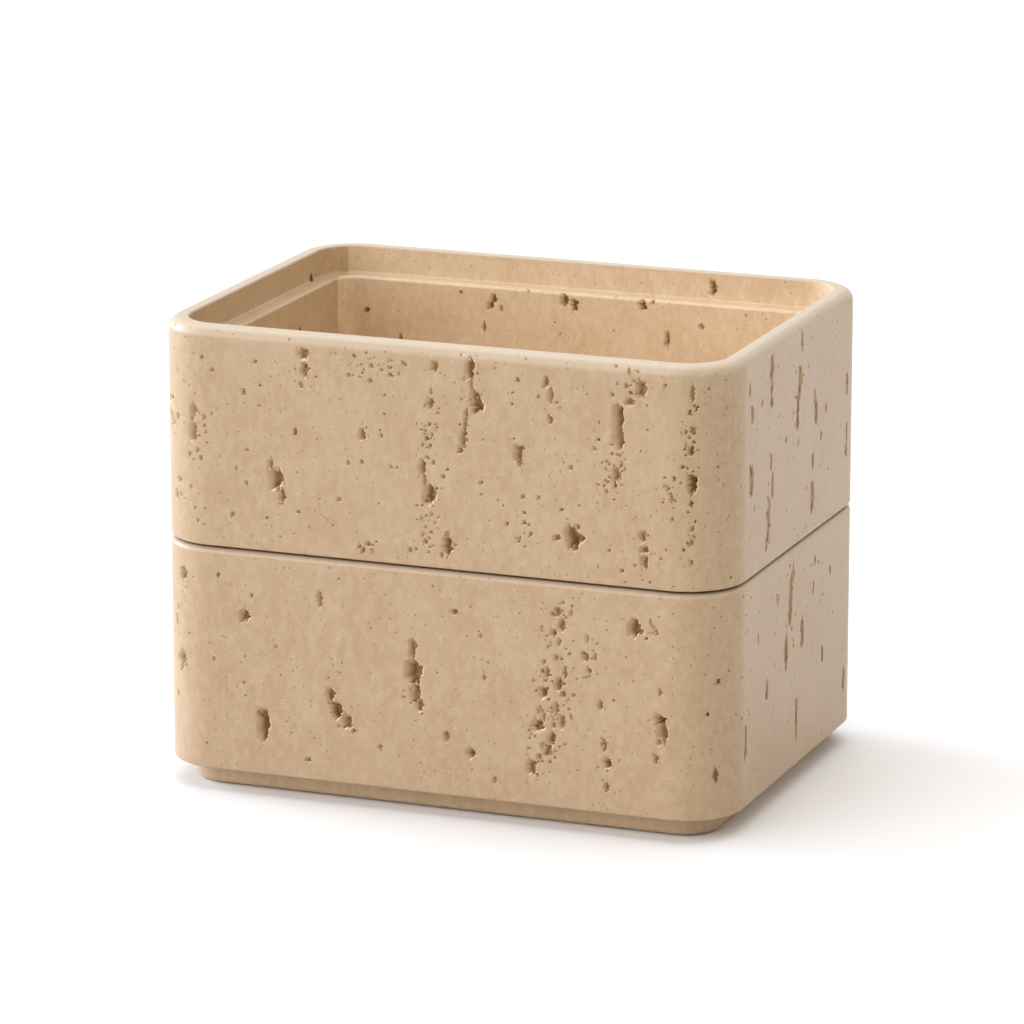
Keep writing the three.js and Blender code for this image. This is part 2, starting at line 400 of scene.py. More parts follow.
# Vertical bands of pits and loose pits on the left and back sides, which the photo doesn't show
bandLook = {
    "perSide": 9,
    "alongShare": (0.15, 0.85),
    "upShare": (0.3, 0.85),
    "width": (1.4 * mm, 3.6 * mm),
    "height": (3 * mm, 15 * mm),
    "pores": (4, 22),
    "poreSpread": (4 * mm, 16 * mm),
    "poreDrift": 1.6 * mm,
    "poreRadius": (0.2 * mm, 0.6 * mm),
    "belowRim": 2 * mm,
}
looseLook = {
    "perSide": 26,
    "alongShare": (0.02, 0.98),
    "upShare": (0.12, 0.95),
    "width": (0.7 * mm, 1.8 * mm),
    "height": (0.7 * mm, 2 * mm),
}
innerLook = {
    "perSide": 8,
    "alongShare": (0.1, 0.9),
    "upShare": (0.2, 0.95),
    "width": (0.7 * mm, 2.2 * mm),
    "height": (0.7 * mm, 2.6 * mm),
}

chance = random.Random(pitLook["seed"])
noise.seed_set(pitLook["seed"])


# The nearest tray along a ray: where it is hit, the way out of it, up and across
def findPlace(origin, direction, nodes=("upper_tray", "lower_tray")):
    level = 0.8        # what faces up or down by more than this is laid out along Y
    best = None
    for node in nodes:
        point, normal, _, distance = surfaces[node].ray_cast(origin, direction)
        if point and (best is None or distance < best["distance"]):
            best = {"node": node, "point": point, "normal": normal, "distance": distance}
    if best:
        rise = Vector((0, 0, 1)) if abs(best["normal"].z) < level else Vector((0, 1, 0))
        across = rise.cross(best["normal"]).normalized()
        best["across"] = across
        best["up"] = best["normal"].cross(across)
    return best


# One cell of a pit: a rough well that leans away from its soft side
def addCell(cells, place, side, rise, wide, tall, depthShare, form):
    radius = min(wide, tall)
    deep = min(radius * depthShare, pitLook["deepest"])
    slope = radius * chance.uniform(*form["slope"])
    lean = chance.uniform(*pitLook["lean"])
    wander = 1 + pitLook["wanderMost"] * pitLook["roughness"]
    cells[place["node"]].append({
        "place": place,
        "middle": place["point"] + place["across"] * side + place["up"] * rise,
        "wide": wide,
        "tall": tall,
        "deep": deep,
        "slope": slope,
        "sink": min(radius * chance.uniform(*form["sink"]), deep * pitLook["sinkLimit"]),
        "lip": min(pitLook["lip"], radius * pitLook["lipShare"]),
        "lean": lean,
        "softSide": pitLook["softSide"] + chance.uniform(-pitLook["softTurn"], pitLook["softTurn"]),
        "form": form,
        "reach": max(wide, tall) * wander + max(slope, lean * deep) + outline["near"],
    })


def addPore(cells, place, side, rise, radius, cut=frontCut):
    form = poreForm if radius > pitLook["dotLimit"] else dotForm
    depthShare = chance.uniform(*cut["depth"]) * chance.uniform(*poreLook["deeper"])
    tall = radius * chance.uniform(*poreLook["tall"]) * cut["height"]
    addCell(cells, place, side, rise, radius * cut["width"], tall, depthShare, form)


# A hollow: ragged wells in a row that run into each other, lobes along their crisp side, and pores
# that fray its edge
def addHollow(cells, place, width, height, cut=frontCut):
    if max(width, height) < pitLook["poreLimit"]:
        addPore(cells, place, 0, 0, (width + height) / 4 * poreLook["share"], cut)
        return
    look = hollowLook
    form = hollowForm if max(width, height) > pitLook["smallLimit"] else lobeForm
    width = width * cut["width"]
    height = height * cut["height"]
    least = min(width, height)
    wells = max(1, round(height / (look["wellHeight"] * width)))
    for well in range(wells):
        half = width / 2 * chance.uniform(*look["wellWidth"])
        tall = height / wells / 2 * chance.uniform(*look["wellTall"])
        side = width / 2 * look["crispEdge"] - half + width * chance.uniform(*look["wellShift"])
        rise = ((well + 0.5) / wells - 0.5) * height
        addCell(cells, place, side, rise, half, tall, chance.uniform(*cut["depth"]), form)
    lobes = wells + int(least / look["lobeEvery"]) if form is hollowForm else 1
    for lobe in range(lobes):
        angle = chance.uniform(-look["lobeTurn"], look["lobeTurn"])
        radius = least * chance.uniform(*look["lobeSize"])
        side = cos(angle) * width / 2 * chance.uniform(*look["lobeOut"])
        rise = sin(angle) * height / 2 * chance.uniform(*look["lobeUp"])
        tall = radius * chance.uniform(*look["lobeTall"])
        depthShare = chance.uniform(*cut["depth"]) * look["lobeDepth"]
        addCell(cells, place, side, rise, radius, tall, depthShare, lobeForm)
    for fray in range(look["frays"] + wells):
        angle = chance.uniform(-look["frayTurn"], look["frayTurn"])
        radius = least * chance.uniform(*look["fraySize"])
        side = cos(angle) * width / 2 * chance.uniform(*look["frayOut"])
        rise = sin(angle) * height / 2 * chance.uniform(*look["frayUp"])
        addPore(cells, place, side, rise, radius, cut)


# How wide and high a stretch of the photo is on the surface that it shows
def sizeOnSurface(place, width, height):
    least = 0.3        # where a surface is seen edge on, this share of it is taken as seen
    view = camera.matrix_world.translation
    depth = (place["point"] - view).length
    perPixel = depth * photoView["sensor"] / photoView["lens"] / photoView["size"]
    sight = (place["point"] - view).normalized()
    seenAcross = (place["across"] - sight * place["across"].dot(sight)).length
    seenUp = (place["up"] - sight * place["up"].dot(sight)).length
    return width * perPixel / max(seenAcross, least), height * perPixel / max(seenUp, least)


def pixelPlace(x, y):
    return findPlace(*pixelRay(camera, x, y))


cells = {"lower_tray": [], "upper_tray": []}
for pixels, cut in ((frontPitPixels, frontCut), (sidePitPixels, sideCut), (innerPitPixels, frontCut)):
    for x, y, width, height in pixels:
        place = pixelPlace(x, y)
        if place:
            addHollow(cells, place, *sizeOnSurface(place, width, height), cut)
for x, y, width, height, count in porePixels:
    for pore in range(count):
        angle = chance.uniform(0, 2 * pi)
        out = sqrt(chance.random())
        place = pixelPlace(x + cos(angle) * out * width / 2, y + sin(angle) * out * height / 2)
        if place:
            cut = sideCut if place["normal"].x > sideCut["facing"] else frontCut
            addPore(cells, place, 0, 0, chance.uniform(*poreLook["radius"]), cut)


# A place on a tray's wall, seen from outside (or from within), by its share along a side and up it
def wallPlace(node, side, alongShare, upShare, fromWithin=False):
    low, high = boxes[node]
    span = outline["width"] if side in ("front", "back") else outline["depth"]
    outward = {"front": Vector((0, -1, 0)), "back": Vector((0, 1, 0)),
               "left": Vector((-1, 0, 0)), "right": Vector((1, 0, 0))}[side]
    across = Vector((0, 0, 1)).cross(outward)
    start = across * (alongShare - 0.5) * span + Vector((0, 0, low.z + upShare * (high.z - low.z)))
    if fromWithin:
        return findPlace(start, outward, (node,))
    return findPlace(start + outward * outline["width"], -outward, (node,))


# Loose pits, spread over one side
def scatterPits(cells, node, side, look, fromWithin=False):
    for loose in range(look["perSide"]):
        alongShare = chance.uniform(*look["alongShare"])
        place = wallPlace(node, side, alongShare, chance.uniform(*look["upShare"]), fromWithin)
        addHollow(cells, place, chance.uniform(*look["width"]), chance.uniform(*look["height"]))


for node in cells:
    for side in ("left", "back"):
        for band in range(bandLook["perSide"]):
            alongShare = (band + chance.uniform(*bandLook["alongShare"])) / bandLook["perSide"]
            place = wallPlace(node, side, alongShare, chance.uniform(*bandLook["upShare"]))
            width = chance.uniform(*bandLook["width"])
            height = max(width, chance.uniform(*bandLook["height"]) * chance.random())
            addHollow(cells, place, width, height)
            spread = chance.uniform(*bandLook["poreSpread"])
            for pore in range(chance.randint(*bandLook["pores"])):
                step = chance.gauss(0, bandLook["poreDrift"])
                rise = chance.uniform(-1, 1) * spread
                if place["point"].z + rise < boxes[node][1].z - bandLook["belowRim"]:
                    addPore(cells, place, step, rise, chance.uniform(*bandLook["poreRadius"]))
        scatterPits(cells, node, side, looseLook)
    for side in ("front", "back", "left", "right"):
        scatterPits(cells, node, side, innerLook, True)

# Fine dots all over
for node in cells:
    low, high = boxes[node]
    sides = ["front", "back", "left", "right"]
    spans = [outline["width"]] * 2 + [outline["depth"]] * 2
    for dot in range(dotLook["wallsPerTray"] + dotLook["insidePerTray"]):
        within = dot >= dotLook["wallsPerTray"]
        side = chance.choices(sides, spans)[0]
        place = wallPlace(node, side, chance.random(), chance.uniform(*dotLook["upShare"]), within)
        if place:
            cut = sideCut if side == "right" else frontCut
            addPore(cells, place, 0, 0, chance.uniform(*dotLook["radius"]), cut)
    for dot in range(dotLook["topPerTray"] + dotLook["underPerTray"]):
        under = dot >= dotLook["topPerTray"]
        x = chance.uniform(-0.5, 0.5) * outline["width"]
        y = chance.uniform(-0.5, 0.5) * outline["depth"]
        z = low.z - dotLook["searchFrom"] if under else high.z + dotLook["searchFrom"]
        place = findPlace(Vector((x, y, z)), Vector((0, 0, 1 if under else -1)), (node,))
        if place:
            addPore(cells, place, 0, 0, chance.uniform(*dotLook["radius"]))
print("scene: pit cells", {node: len(found) for node, found in cells.items()})


# Cells that touch go to different layers, because each layer is cut as one closed mesh
def spreadOverLayers(found):
    layers = []
    for cell in sorted(found, key=lambda one: -one["reach"]):
        middle, reach = cell["middle"], cell["reach"]
        for layer in layers:
            if all((middle - one["middle"]).length > reach + one["reach"] for one in layer):
                layer.append(cell)
                break
        else:
            layers.append([cell])
    return layers


# How far the surface falls away from the plane that touches it at the pit
def dropTo(place, point):
    nearest = surfaces[place["node"]].find_nearest(point)[0]
    drop = (point - nearest).dot(place["normal"])
    limit = pitLook["followLimit"]
    return max(-limit, min(limit, drop))


# The closed mesh that cuts one cell: a sphere drawn into the rings of the cell's form
def wellBlob(cell):
    place, form, look = cell["place"], cell["form"], pitLook
    walls, lips = form["wallShares"], form["lipShares"]
    lip, lipDrop = cell["lip"], cell["lip"] * look["lipDrop"]
    rings = len(walls) + len(lips) + 1
    blob = bmesh.new()
    bmesh.ops.create_uvsphere(blob, u_segments=form["around"], v_segments=rings, radius=1)
    key = cell["middle"] / mm
    for vert in blob.verts:
        ring = round(acos(max(-1, min(1, -vert.co.z))) / pi * rings)
        angle = atan2(vert.co.y, vert.co.x)
        around = Vector((cos(angle), sin(angle), 0))
        swing = sum(strength * noise.noise(key + around * fine) for strength, fine in look["wander"])
        mouth = Vector((around.x * cell["wide"], around.y * cell["tall"], 0))
        mouth = mouth * (1 + look["roughness"] * swing)
        soft = 0.5 + 0.5 * cos(angle - cell["softSide"])
        soft = soft * soft * (3 - 2 * soft)        # eased at both ends
        lipWidth = lip + (cell["slope"] - lip) * soft
        lipDepth = lipDrop + (cell["sink"] - lipDrop) * soft
        if ring < len(walls):
            depthShare, widthShare = walls[ring]
            depth = lipDepth + (cell["deep"] - lipDepth) * depthShare
            flat = mouth * widthShare
            rough = noise.noise_vector(key + vert.co * look["wallFineness"])
            rough = rough * cell["wide"] * look["wallRoughness"]
        elif ring < len(walls) + len(lips):
            depthShare, widthShare = lips[ring - len(walls)]
            depth = lipDepth * depthShare
            flat = mouth + around * lipWidth * widthShare
            rough = Vector()
        else:
            depth = -look["above"]
            flat = (mouth + around * lipWidth) * (look["flare"] if ring < rings else 0)
            rough = Vector()
        flat.x += cell["lean"] * max(depth, 0)
        point = cell["middle"] + place["across"] * flat.x + place["up"] * flat.y
        if cell["wide"] > look["followLimit"]:
            depth += dropTo(place, point)
        vert.co = point - place["normal"] * depth + rough
    return blob


def cutterObject(name, layer):
    bm = bmesh.new()
    blobMesh = bpy.data.meshes.new("blob")
    for cell in layer:
        blob = wellBlob(cell)
        blob.to_mesh(blobMesh)
        blob.free()
        bm.from_mesh(blobMesh)
    bpy.data.meshes.remove(blobMesh)
    bmesh.ops.recalc_face_normals(bm, faces=bm.faces)
    return meshObject(name, bm)


def meshObject(name, bm):
    mesh = bpy.data.meshes.new(name)
    bm.to_mesh(mesh)
    bm.free()
    made = bpy.data.objects.new(name, mesh)
    bpy.context.scene.collection.objects.link(made)
    return made


# Round pockets under the foot, in which the pads sit
pocket = {
    "sideGap": 0.3 * mm,
    "film": 0.15 * mm,
    "overrun": 2 * mm,
    "segments": 48,
}


def pocketCutter(tray, prefix):
    bm = bmesh.new()
    for corner in corners:
        low, high = boxes[f"{prefix}_pad_{corner}"]
        radius = (high.x - low.x) / 2 + pocket["sideGap"]
        ceiling = high.z + pocket["film"]
        bottom = boxes[tray["node"]][0].z - pocket["overrun"]
        middle = Vector(((low.x + high.x) / 2, (low.y + high.y) / 2, (ceiling + bottom) / 2))
        bmesh.ops.create_cone(bm, cap_ends=True, segments=pocket["segments"], radius1=radius,
                              radius2=radius, depth=ceiling - bottom, matrix=Matrix.Translation(middle))
    return meshObject(f"{prefix}PocketCutter", bm)


def cutAway(made, cutters):
    for cutter in cutters:
        cut = made.modifiers.new(cutter.name, "BOOLEAN")
        cut.operation = "DIFFERENCE"
        cut.solver = "MANIFOLD"
        cut.object = cutter
    graph = bpy.context.evaluated_depsgraph_get()
    mesh = bpy.data.meshes.new_from_object(made.evaluated_get(graph))
    made.modifiers.clear()
    made.data = mesh
    for cutter in cutters:
        bpy.data.objects.remove(cutter)


# How the points of a tray are marked for the material, and its edges for the shading
markLook = {
    "near": 0.1 * mm,
    "lipFrom": 0.045 * mm,       # depth at which a pit lip's painted highlight begins
    "lipTurn": 3,                # how fast it comes in where the wall turns to the soft side
    "lipFade": 1.2,              # depth where it ends, in lip widths
    "lipEdge": mm,               # a point with a longer edge is a corner of a wide face, not on a lip
    "rightLimit": 0.7,           # the right side, beyond this, has none
    "leftShare": 0.2,            # how much of the painted bounce light the left inside wall gets; the rest of it stays in painted shade
    "belowFloor": mm,            # how far under its floor the inside still counts
    "mouthFade": 0.2,            # where it begins below the rim, in mouth rounds
    "rimFade": 1.15,             # where the painted rim sheen ends, in rim rounds
    "rimReach": 3,               # and how far in it goes where a tray stands on it
    "sunk": 0.03,                # depth of a pit's own faces, in mm
    "roundReach": 2 * mm,        # how far the rounded edges reach
    "crease": radians(38),
}


# Which way an outer wall faces beside a point
def outwardAt(point):
    radius = outline["cornerRadius"]
    pastX = max(0, abs(point.x) - (outline["width"] / 2 - radius))
    pastY = max(0, abs(point.y) - (outline["depth"] / 2 - radius))
    return Vector((copysign(pastX, point.x), copysign(pastY, point.y), 0)).normalized()


def clamped(value):
    return max(0, min(1, value))


# How much painted highlight a point gets on the crisp lip of a pit in an outer wall, other than the right
# one: on lips turned towards the soft side, where the light falls
def lipHighlightOf(vert, depth):
    outward = outwardAt(vert.co)
    share = clamped(markLook["lipFade"] - depth / pitLook["lip"])
    if share == 0 or depth < markLook["lipFrom"] or outward.x > markLook["rightLimit"]:
        return 0
    if any(edge.calc_length() > markLook["lipEdge"] for edge in vert.link_edges):
        return 0
    across = Vector((0, 0, 1)).cross(outward)
    toSoft = across * cos(pitLook["softSide"]) + Vector((0, 0, sin(pitLook["softSide"])))
    return share * clamped(markLook["lipTurn"] * vert.normal.dot(toSoft))


# Notes on each point how deep it lies in a pit, in mm (the face over the joint is noted as deepest, for
# painted shade), how much painted highlight it gets as a lip, painted bounce light as the inside and
# painted sheen as the rim, and keeps steep edges crisp
def markPits(made, tray):
    low, high = boxes[tray["node"]]
    bm = bmesh.new()
    bm.from_mesh(made.data)
    newLayer = bm.verts.layers.float.new
    depthLayer, insideLightLayer, rimSheenLayer, lipHighlightLayer = map(newLayer, ("pitDepth", "within", "rim", "lip"))
    near = markLook["near"]
    bodyLow = low.z + foot["height"]
    innerLow = low.z + inside["floorThickness"] - markLook["belowFloor"]
    leftWall = near + inside["rimWidth"] + inside["ledgeWidth"] - outline["width"] / 2
    for vert in bm.verts:
        depth = surfaces[tray["node"]].find_nearest(vert.co)[3]
        inset = insetOf(vert.co)
        below = high.z - vert.co.z
        # painted shade in the joint: the underside over it takes the deepest pit colour
        if tray["shadedBase"] and abs(vert.co.z - bodyLow) < near and inset > tray["baseRound"]:
            depth = pitLook["deepest"]
        vert[depthLayer] = depth / mm
        # painted highlight on the lips of pits in the outer walls
        if inset < inside["rimWidth"]:
            vert[lipHighlightLayer] = lipHighlightOf(vert, depth)
        # painted bounce light on the inside, and painted shade on its left wall, which gets only part of
        # it
        if inset > inside["rimWidth"] - near and vert.co.z > innerLow:
            share = clamped(below / inside["mouthRound"] - markLook["mouthFade"])
            vert[insideLightLayer] = share * (markLook["leftShare"] if vert.co.x < leftWall else 1)
        # painted sheen on the rims, and on the lower tray's rounded rim below the joint
        elif inset < markLook["rimReach"] * tray["rimRound"] or not tray["rimDrop"]:
            vert[rimSheenLayer] = clamped(markLook["rimFade"] - below / tray["rimRound"])
    for face in bm.faces:
        face.smooth = True
    for edge in bm.edges:
        if len(edge.link_faces) == 2:
            one, other = [any(v[depthLayer] > markLook["sunk"] for v in f.verts) for f in edge.link_faces]
            away = max(min(high.z - v.co.z, abs(v.co.z - bodyLow)) for v in edge.verts)
            mouth = away < markLook["roundReach"] and one != other      # of a pit in a rounded edge
            edge.smooth = edge.calc_face_angle() < markLook["crease"] and not mouth
    bm.to_mesh(made.data)
    bm.free()


def finishTray(tray, prefix):
    node = tray["node"]
    made = meshObject(f"{node}_stone", blanks[node])
    layers = spreadOverLayers(cells[node])
    cutters = [cutterObject(f"{prefix}Pits{index}", layer) for index, layer in enumerate(layers)]
    cutAway(made, cutters + [pocketCutter(tray, prefix)])
    markPits(made, tray)
    shading = made.modifiers.new("evenNormals", "WEIGHTED_NORMAL")
    shading.keep_sharp = True
    made.data.materials.clear()
    made.data.materials.append(travertine)
    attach(made, tray["body"])
    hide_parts(node)
    triangles = sum(len(face.vertices) - 2 for face in made.data.polygons)
    print("scene:", made.name, len(layers), "layers of pits,", triangles, "triangles")
    return made


# Materials

class NodeSheet:
    def __init__(self, tree):
        self.tree = tree

    # Adds a node, sets its properties, and sets or links its inputs by name or index
    def add(self, kind, inputs=None, **properties):
        node = self.tree.nodes.new(kind)
        for name, value in properties.items():
            setattr(node, name, value)
        for name, value in (inputs or {}).items():
            if isinstance(value, bpy.types.NodeSocket):
                self.tree.links.new(value, node.inputs[name])
            else:
                node.inputs[name].default_value = value
        return node

    def mixColor(self, share, first, second, blend="MIX"):
        inputs = {0: share, 6: first, 7: second}
        return self.add("ShaderNodeMix", inputs, data_type="RGBA", blend_type=blend).outputs[2]

    def ramp(self, value, low, high, outLow=0.0, outHigh=1.0):
        node = self.add("ShaderNodeMapRange", {"Value": value, "From Min": low, "From Max": high,
                                               "To Min": outLow, "To Max": outHigh})
        return node.outputs["Result"]

    def math(self, operation, first, second):
        return self.add("ShaderNodeMath", {0: first, 1: second}, operation=operation).outputs[0]

    # A value that markPits noted on the points
    def mark(self, name):
        return self.add("ShaderNodeAttribute", attribute_name=name).outputs["Fac"]


# Sizes of the cast grain, in millimetres
coarseGrain = {"Cloud Size": 8.0, "Mottle Size": 1.3, "Speck Size": 1.0, "Speck Share": 0.34}
fineGrain = {"Cloud Size": 3.0, "Mottle Size": 0.4, "Speck Size": 0.55, "Speck Share": 0.16}
rubberGrain = {"Cloud Size": 2.5, "Mottle Size": 0.3, "Speck Size": 0.6, "Speck Share": 0.15}
grainLook = {
    "cloud": {"Detail": 4.0, "Roughness": 0.55},
    "mottle": {"Detail": 3.0, "Roughness": 0.6},
    "mottleHeight": 0.35,        # against the depth of a speck
    "speckRadius": (0.08, 0.2),  # as a share of the speck size
    "speckCore": 0.6,            # as a share of its radius
}


# Cast grain: broad clouds, a fine mottle, scattered specks and a bump height
def grainGroup():
    group = bpy.data.node_groups.new("castGrain", "ShaderNodeTree")
    face = group.interface
    face.new_socket("Vector", in_out="INPUT", socket_type="NodeSocketVector")
    for name, value in coarseGrain.items():
        face.new_socket(name, in_out="INPUT", socket_type="NodeSocketFloat").default_value = value
    for name in ("Cloud", "Mottle", "Speck", "Height"):
        face.new_socket(name, in_out="OUTPUT", socket_type="NodeSocketFloat")
    sheet = NodeSheet(group)
    given = sheet.add("NodeGroupInput").outputs
    put = sheet.add("NodeGroupOutput")

    def texture(kind, size, **inputs):
        scale = sheet.math("DIVIDE", 1.0, given[size])
        return sheet.add(kind, {"Vector": given["Vector"], "Scale": scale, **inputs}).outputs

    cloud = texture("ShaderNodeTexNoise", "Cloud Size", **grainLook["cloud"])["Fac"]
    mottle = texture("ShaderNodeTexNoise", "Mottle Size", **grainLook["mottle"])["Fac"]
    cell = texture("ShaderNodeTexVoronoi", "Speck Size", Randomness=1.0)
    chosen = sheet.add("ShaderNodeSeparateColor", {"Color": cell["Color"]}).outputs
    kept = sheet.math("LESS_THAN", chosen["Red"], given["Speck Share"])
    radius = sheet.ramp(chosen["Green"], 0.0, 1.0, *grainLook["speckRadius"])
    edge = sheet.math("DIVIDE", cell["Distance"], radius)
    dot = sheet.ramp(edge, grainLook["speckCore"], 1.0, 1.0, 0.0)
    speck = sheet.math("MULTIPLY", dot, kept)
    height = sheet.math("SUBTRACT", sheet.math("MULTIPLY", mottle, grainLook["mottleHeight"]), speck)
    for name, value in (("Cloud", cloud), ("Mottle", mottle), ("Speck", speck), ("Height", height)):
        group.links.new(value, put.inputs[name])
    return group


castGrain = grainGroup()

# Ramps hold the grain or depth where they start and end, then the shares there
travertineLook = {
    "stretch": 1.5,
    "base": (0.508, 0.355, 0.209, 1),
    "warm": (0.455, 0.301, 0.166, 1),
    "cloudRamp": (0.36, 0.6, 0.15, 0.75),
    "pale": (0.560, 0.412, 0.264, 1),
    "mottleRamp": (0.4, 0.7, 0.0, 0.65),
    "fineRamp": (0.45, 0.7, 0.0, 0.5),
    "insideLightGain": (1.46, 1.60, 1.80, 1),      # painted bounce light, which makes the inside paler
    "rim": (0.580, 0.470, 0.340, 1),          # painted sheen, paler on the rims
    "rimSheenShare": 0.85,
    "speck": (0.250, 0.150, 0.075, 1),
    "speckShare": 0.6,
    "fineSpeckShare": 0.4,
    "pit": (0.375, 0.212, 0.076, 1),
    "pitRamp": (0.05, 0.7, 0.0, 0.9),         # by depth in mm: a browner tone in the pits, with painted shade
    # painted shade, darker deeper in the pits
    "pitDeep": (0.265, 0.125, 0.026, 1),
    "pitDeepRamp": (0.5, 1.6, 0.0, 0.9),
    "lip": (0.880, 0.670, 0.440, 1),          # painted highlight on pit lips that face the light
    "roughnessRamp": (0.3, 0.7, 0.36, 0.5),
    "specular": 0.38,
    "coat": 0.22,                             # a thin satin sealer
    "coatRoughness": 0.24,
    "fineHeight": 0.5,
    "bump": 0.06 * mm,
}
rubberLook = {
    "base": (0.155, 0.140, 0.120, 1),
    "worn": (0.215, 0.195, 0.170, 1),
    "cloudRamp": (0.4, 0.6, 0.0, 1.0),
    "roughnessRamp": (0.3, 0.7, 0.7, 0.86),
    "bump": 0.05 * mm,
}


def startMaterial(name):
    material = bpy.data.materials.new(name)
    material.use_nodes = True
    material.node_tree.nodes.clear()
    sheet = NodeSheet(material.node_tree)
    shader = sheet.add("ShaderNodeBsdfPrincipled")
    sheet.add("ShaderNodeOutputMaterial", {"Surface": shader.outputs["BSDF"]})
    return material, sheet, shader


# Object coordinates in millimetres, drawn out upwards by stretch
def inMillimetres(sheet, stretch=1.0):
    place = sheet.add("ShaderNodeTexCoord").outputs["Object"]
    scale = (1 / mm, 1 / mm, 1 / mm / stretch)
    return sheet.add("ShaderNodeMapping", {"Vector": place, "Scale": scale}).outputs["Vector"]


def grainNode(sheet, vector, sizes):
    return sheet.add("ShaderNodeGroup", {"Vector": vector, **sizes}, node_tree=castGrain).outputs


def linkLooks(sheet, shader, color, roughness, height, bump):
    bumped = sheet.add("ShaderNodeBump", {"Height": height, "Distance": bump}).outputs["Normal"]
    for name, value in (("Base Color", color), ("Roughness", roughness), ("Normal", bumped)):
        sheet.tree.links.new(value, shader.inputs[name])


def travertineMaterial(look):
    material, sheet, shader = startMaterial("travertine")
    grain = grainNode(sheet, inMillimetres(sheet, look["stretch"]), coarseGrain)
    fine = grainNode(sheet, inMillimetres(sheet), fineGrain)
    color = sheet.mixColor(sheet.ramp(grain["Cloud"], *look["cloudRamp"]), look["base"], look["warm"])
    color = sheet.mixColor(sheet.ramp(grain["Mottle"], *look["mottleRamp"]), color, look["pale"])
    color = sheet.mixColor(sheet.ramp(fine["Mottle"], *look["fineRamp"]), color, look["warm"])
    # painted bounce light makes the inside paler
    color = sheet.mixColor(sheet.mark("within"), color, look["insideLightGain"], "MULTIPLY")
    # painted sheen on the rims, then the grain's dark specks
    for mark, share, tone in ((sheet.mark("rim"), look["rimSheenShare"], look["rim"]),
                              (grain["Speck"], look["speckShare"], look["speck"]),
                              (fine["Speck"], look["fineSpeckShare"], look["speck"])):
        color = sheet.mixColor(sheet.math("MULTIPLY", mark, share), color, tone)
    depth = sheet.mark("pitDepth")
    # a browner tone in the pits, and painted shade that darkens them with depth
    color = sheet.mixColor(sheet.ramp(depth, *look["pitRamp"]), color, look["pit"])
    color = sheet.mixColor(sheet.ramp(depth, *look["pitDeepRamp"]), color, look["pitDeep"])
    # painted highlight on the lips of pits
    color = sheet.mixColor(sheet.mark("lip"), color, look["lip"])
    roughness = sheet.ramp(grain["Mottle"], *look["roughnessRamp"])
    fineHeight = sheet.math("MULTIPLY", fine["Height"], look["fineHeight"])
    height = sheet.math("ADD", grain["Height"], fineHeight)
    linkLooks(sheet, shader, color, roughness, height, look["bump"])
    shader.inputs["Specular IOR Level"].default_value = look["specular"]
    shader.inputs["Coat Weight"].default_value = look["coat"]
    shader.inputs["Coat Roughness"].default_value = look["coatRoughness"]
    return material


def rubberMaterial(look):
    material, sheet, shader = startMaterial("padRubber")
    grain = grainNode(sheet, inMillimetres(sheet), rubberGrain)
    color = sheet.mixColor(sheet.ramp(grain["Cloud"], *look["cloudRamp"]), look["base"], look["worn"])
    roughness = sheet.ramp(grain["Mottle"], *look["roughnessRamp"])
    linkLooks(sheet, shader, color, roughness, grain["Height"], look["bump"])
    return material


travertine = travertineMaterial(travertineLook)
padRubber = rubberMaterial(rubberLook)
print("scene: materials made")

finishTray(lowerTray, "lower")
finishTray(upperTray, "upper")


# Non-slip pads: a moulded disc with a rounded edge and two rings pressed into its underside

pad = {
    "segments": 64,
    "edgeRound": 0.2 * mm,
    "edgeSegments": 3,
    "rings": 2,
    "ringInset": 0.9 * mm,
    "ringWidth": 0.5 * mm,
    "ringSlope": 0.1 * mm,
    "ringDepth": 0.15 * mm,
    "crease": radians(35),
}


def addPad(node, body):
    low, high = boxes[node]
    middle = (low + high) / 2
    radius = (high.x - low.x) / 2
    bm = bmesh.new()
    bmesh.ops.create_cone(bm, cap_ends=True, segments=pad["segments"], radius1=radius, radius2=radius,
                          depth=high.z - low.z, matrix=Matrix.Translation(middle))
    rims = [e for e in bm.edges if abs(e.verts[0].co.z - e.verts[1].co.z) < outline["near"]]
    roundEdges(bm, rims, pad["edgeRound"], pad["edgeSegments"])
    face = min(bm.faces, key=lambda one: one.calc_center_median().z)
    for ring in range(pad["rings"]):
        bmesh.ops.inset_region(bm, faces=[face], thickness=pad["ringInset"])
        groove = bmesh.ops.inset_region(bm, faces=[face], thickness=pad["ringWidth"])["faces"]
        bmesh.ops.inset_region(bm, faces=groove, thickness=pad["ringSlope"], depth=-pad["ringDepth"])
    for one in bm.faces:
        one.smooth = True
    for edge in bm.edges:
        edge.smooth = edge.calc_face_angle() < pad["crease"]
    made = meshObject(f"{node}_rubber", bm)
    made.data.materials.append(padRubber)
    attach(made, body)
    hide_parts(node)


for prefix, tray in (("lower", lowerTray), ("upper", upperTray)):
    for corner in corners:
        addPad(f"{prefix}_pad_{corner}", tray["body"])
print("scene: pads made")


# Studio

studio = {
    "floorSize": 6,
    "floorParts": 8,
    "floorColor": (0.78, 0.77, 0.76, 1),      # what it throws back on the object
    "floorRoughness": 0.8,
    "floorSpecular": 0.1,
    "worldColor": (0.96, 0.98, 1, 1),
    "worldLight": 0.03,
    "seen": (1, 1, 1, 1),                     # the floor and the background as the camera sees them
    "lampDistance": 1.5,
}
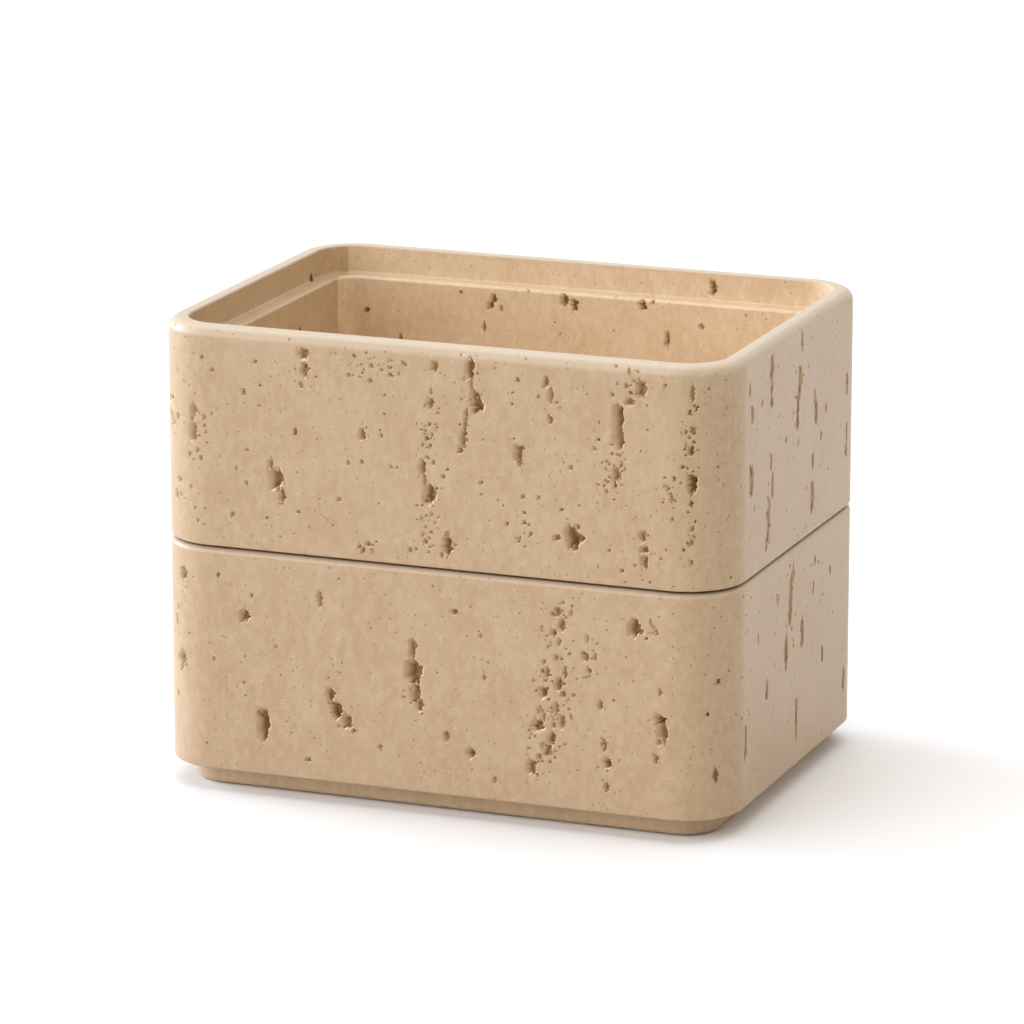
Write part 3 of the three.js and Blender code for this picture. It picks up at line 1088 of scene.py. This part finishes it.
# Where each lamp shines from (azimuth from the front towards the right) and its spread, in degrees
lamps = {
    "keySun": {"azimuth": -43, "elevation": 16, "spread": 55, "light": 1.9, "color": (1, 1, 1.02)},
    "leftSun": {"azimuth": -95, "elevation": 12, "spread": 42, "light": 3.0, "color": (0.92, 1.02, 1.2)},
    "rightSun": {"azimuth": 90, "elevation": 36, "spread": 80, "light": 0.92, "color": (1.05, 1, 0.93)},
    "topSun": {"azimuth": -160, "elevation": 72, "spread": 70, "light": 1.9, "color": (1, 1, 1.02)},
    "frontSun": {"azimuth": 0, "elevation": 35, "spread": 42, "light": 0.6, "color": (1, 1, 1)},
}


# True for rays that see the white background: straight, in a reflection or through something
def seenRays(sheet):
    path = sheet.add("ShaderNodeLightPath").outputs
    seen = sheet.math("MAXIMUM", path["Is Camera Ray"], path["Is Glossy Ray"])
    return sheet.math("MAXIMUM", seen, path["Is Transmission Ray"])


def addFloor():
    bm = bmesh.new()
    parts = studio["floorParts"]
    bmesh.ops.create_grid(bm, x_segments=parts, y_segments=parts, size=studio["floorSize"] / 2)
    made = meshObject("studioFloor", bm)
    material, sheet, shader = startMaterial("studioFloor")
    color = sheet.mixColor(seenRays(sheet), studio["floorColor"], studio["seen"])
    sheet.tree.links.new(color, shader.inputs["Base Color"])
    shader.inputs["Roughness"].default_value = studio["floorRoughness"]
    shader.inputs["Specular IOR Level"].default_value = studio["floorSpecular"]
    made.data.materials.append(material)
    made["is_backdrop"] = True


def addLamp(name, values):
    data = bpy.data.lights.new(name, "SUN")
    data.energy = values["light"]
    data.angle = radians(values["spread"])
    data.color = values["color"]
    lamp = bpy.data.objects.new(name, data)
    turn = radians(values["azimuth"])
    rise = radians(values["elevation"])
    back = Vector((sin(turn) * cos(rise), -cos(turn) * cos(rise), sin(rise)))
    lamp.location = back * studio["lampDistance"]
    lamp.rotation_euler = back.to_track_quat("Z", "Y").to_euler()
    bpy.context.scene.collection.objects.link(lamp)


def setWorld():
    world = bpy.data.worlds.new("studioWorld")
    world.use_nodes = True
    world.node_tree.nodes.clear()
    sheet = NodeSheet(world.node_tree)
    lit = {"Color": studio["worldColor"], "Strength": studio["worldLight"]}
    light = sheet.add("ShaderNodeBackground", lit)
    white = sheet.add("ShaderNodeBackground", {"Color": studio["seen"]})
    both = {0: seenRays(sheet), 1: light.outputs[0], 2: white.outputs[0]}
    mixed = sheet.add("ShaderNodeMixShader", both)
    sheet.add("ShaderNodeOutputWorld", {"Surface": mixed.outputs[0]})
    bpy.context.scene.world = world


addFloor()
for name, values in lamps.items():
    addLamp(name, values)
setWorld()
bpy.context.scene.view_settings.view_transform = "Standard"
print("scene: studio made")

low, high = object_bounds()
